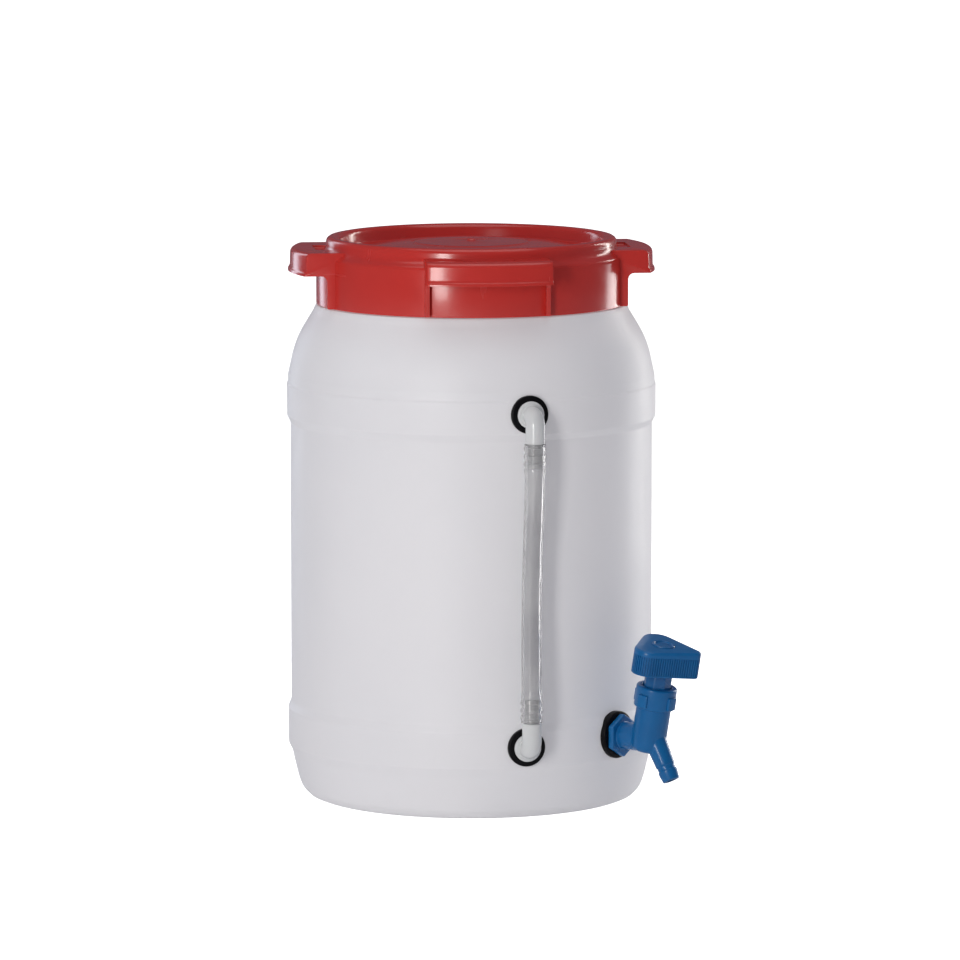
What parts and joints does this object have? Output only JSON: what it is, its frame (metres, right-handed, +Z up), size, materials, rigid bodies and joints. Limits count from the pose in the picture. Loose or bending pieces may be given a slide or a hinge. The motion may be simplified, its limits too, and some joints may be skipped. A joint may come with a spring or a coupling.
{
  "type": "plastic open head drum",
  "caption": "White wide-neck plastic drum with a red four-lug screw lid, a clear hose level gauge between two elbows, and a blue draw-off tap near its base.",
  "frame": {"origin": "middle of the drum's base, on the surface that the drum stands on", "axes": "+Z up along the drum's axis; the lid's lugs lie along +X, -X, +Y and -Y; the level gauge is near -Y and the tap between +X and -Y"},
  "size_m": [0.2762, 0.2776, 0.3955],
  "materials": {
    "drum_plastic": "satin, slightly translucent natural polyethylene",
    "lid_plastic": "gloss",
    "fitting_plastic": "satin",
    "clear_hose": "clear, slightly milky",
    "rubber": "satin",
    "tap_plastic": "satin",
    "plug_plastic": "satin",
    "steel": "brushed"
  },
  "bodies": {
    "drum": {"drum_body": "drum_plastic", "sight_hose": "clear_hose", "upper_elbow": "fitting_plastic", "upper_gasket": "rubber", "upper_inner_washer": "rubber", "upper_lock_nut": "fitting_plastic", "lower_elbow": "fitting_plastic", "lower_gasket": "rubber", "lower_inner_washer": "rubber", "lower_lock_nut": "fitting_plastic", "tap_body": "tap_plastic", "tap_gasket": "rubber", "tap_inner_washer": "rubber", "tap_lock_nut": "tap_plastic", "tap_collar": "tap_plastic"},
    "lid_seal": {"lid_seal": "rubber"},
    "lid": {"lid": "lid_plastic"},
    "tap_handle": {"tap_plug": "plug_plastic", "tap_plug_ring": "rubber", "tap_knob": "tap_plastic", "tap_knob_cap": "plug_plastic", "tap_knob_screw": "steel"}
  },
  "joints": [
    {"name": "lid_rise", "type": "slide", "parent": "drum", "child": "lid_seal", "axis": [0, 0, 1], "range_m": [0, 0.0425]},
    {"name": "lid_turn", "type": "hinge", "parent": "lid_seal", "child": "lid", "pos_m": [0, 0, 0.3897], "axis": [0, 0, 1], "range_deg": [0, 1530]},
    {"name": "tap_turn", "type": "hinge", "parent": "drum", "child": "tap_handle", "pos_m": [0.11168, -0.11247, 0.056], "axis": [0.1284, -0.1293, 0.9833], "range_deg": [0, 90]}
  ],
  "couplings": [
    {"joint": "lid_rise", "follows": "lid_turn", "m_per_rad": 0.0015915}
  ]
}
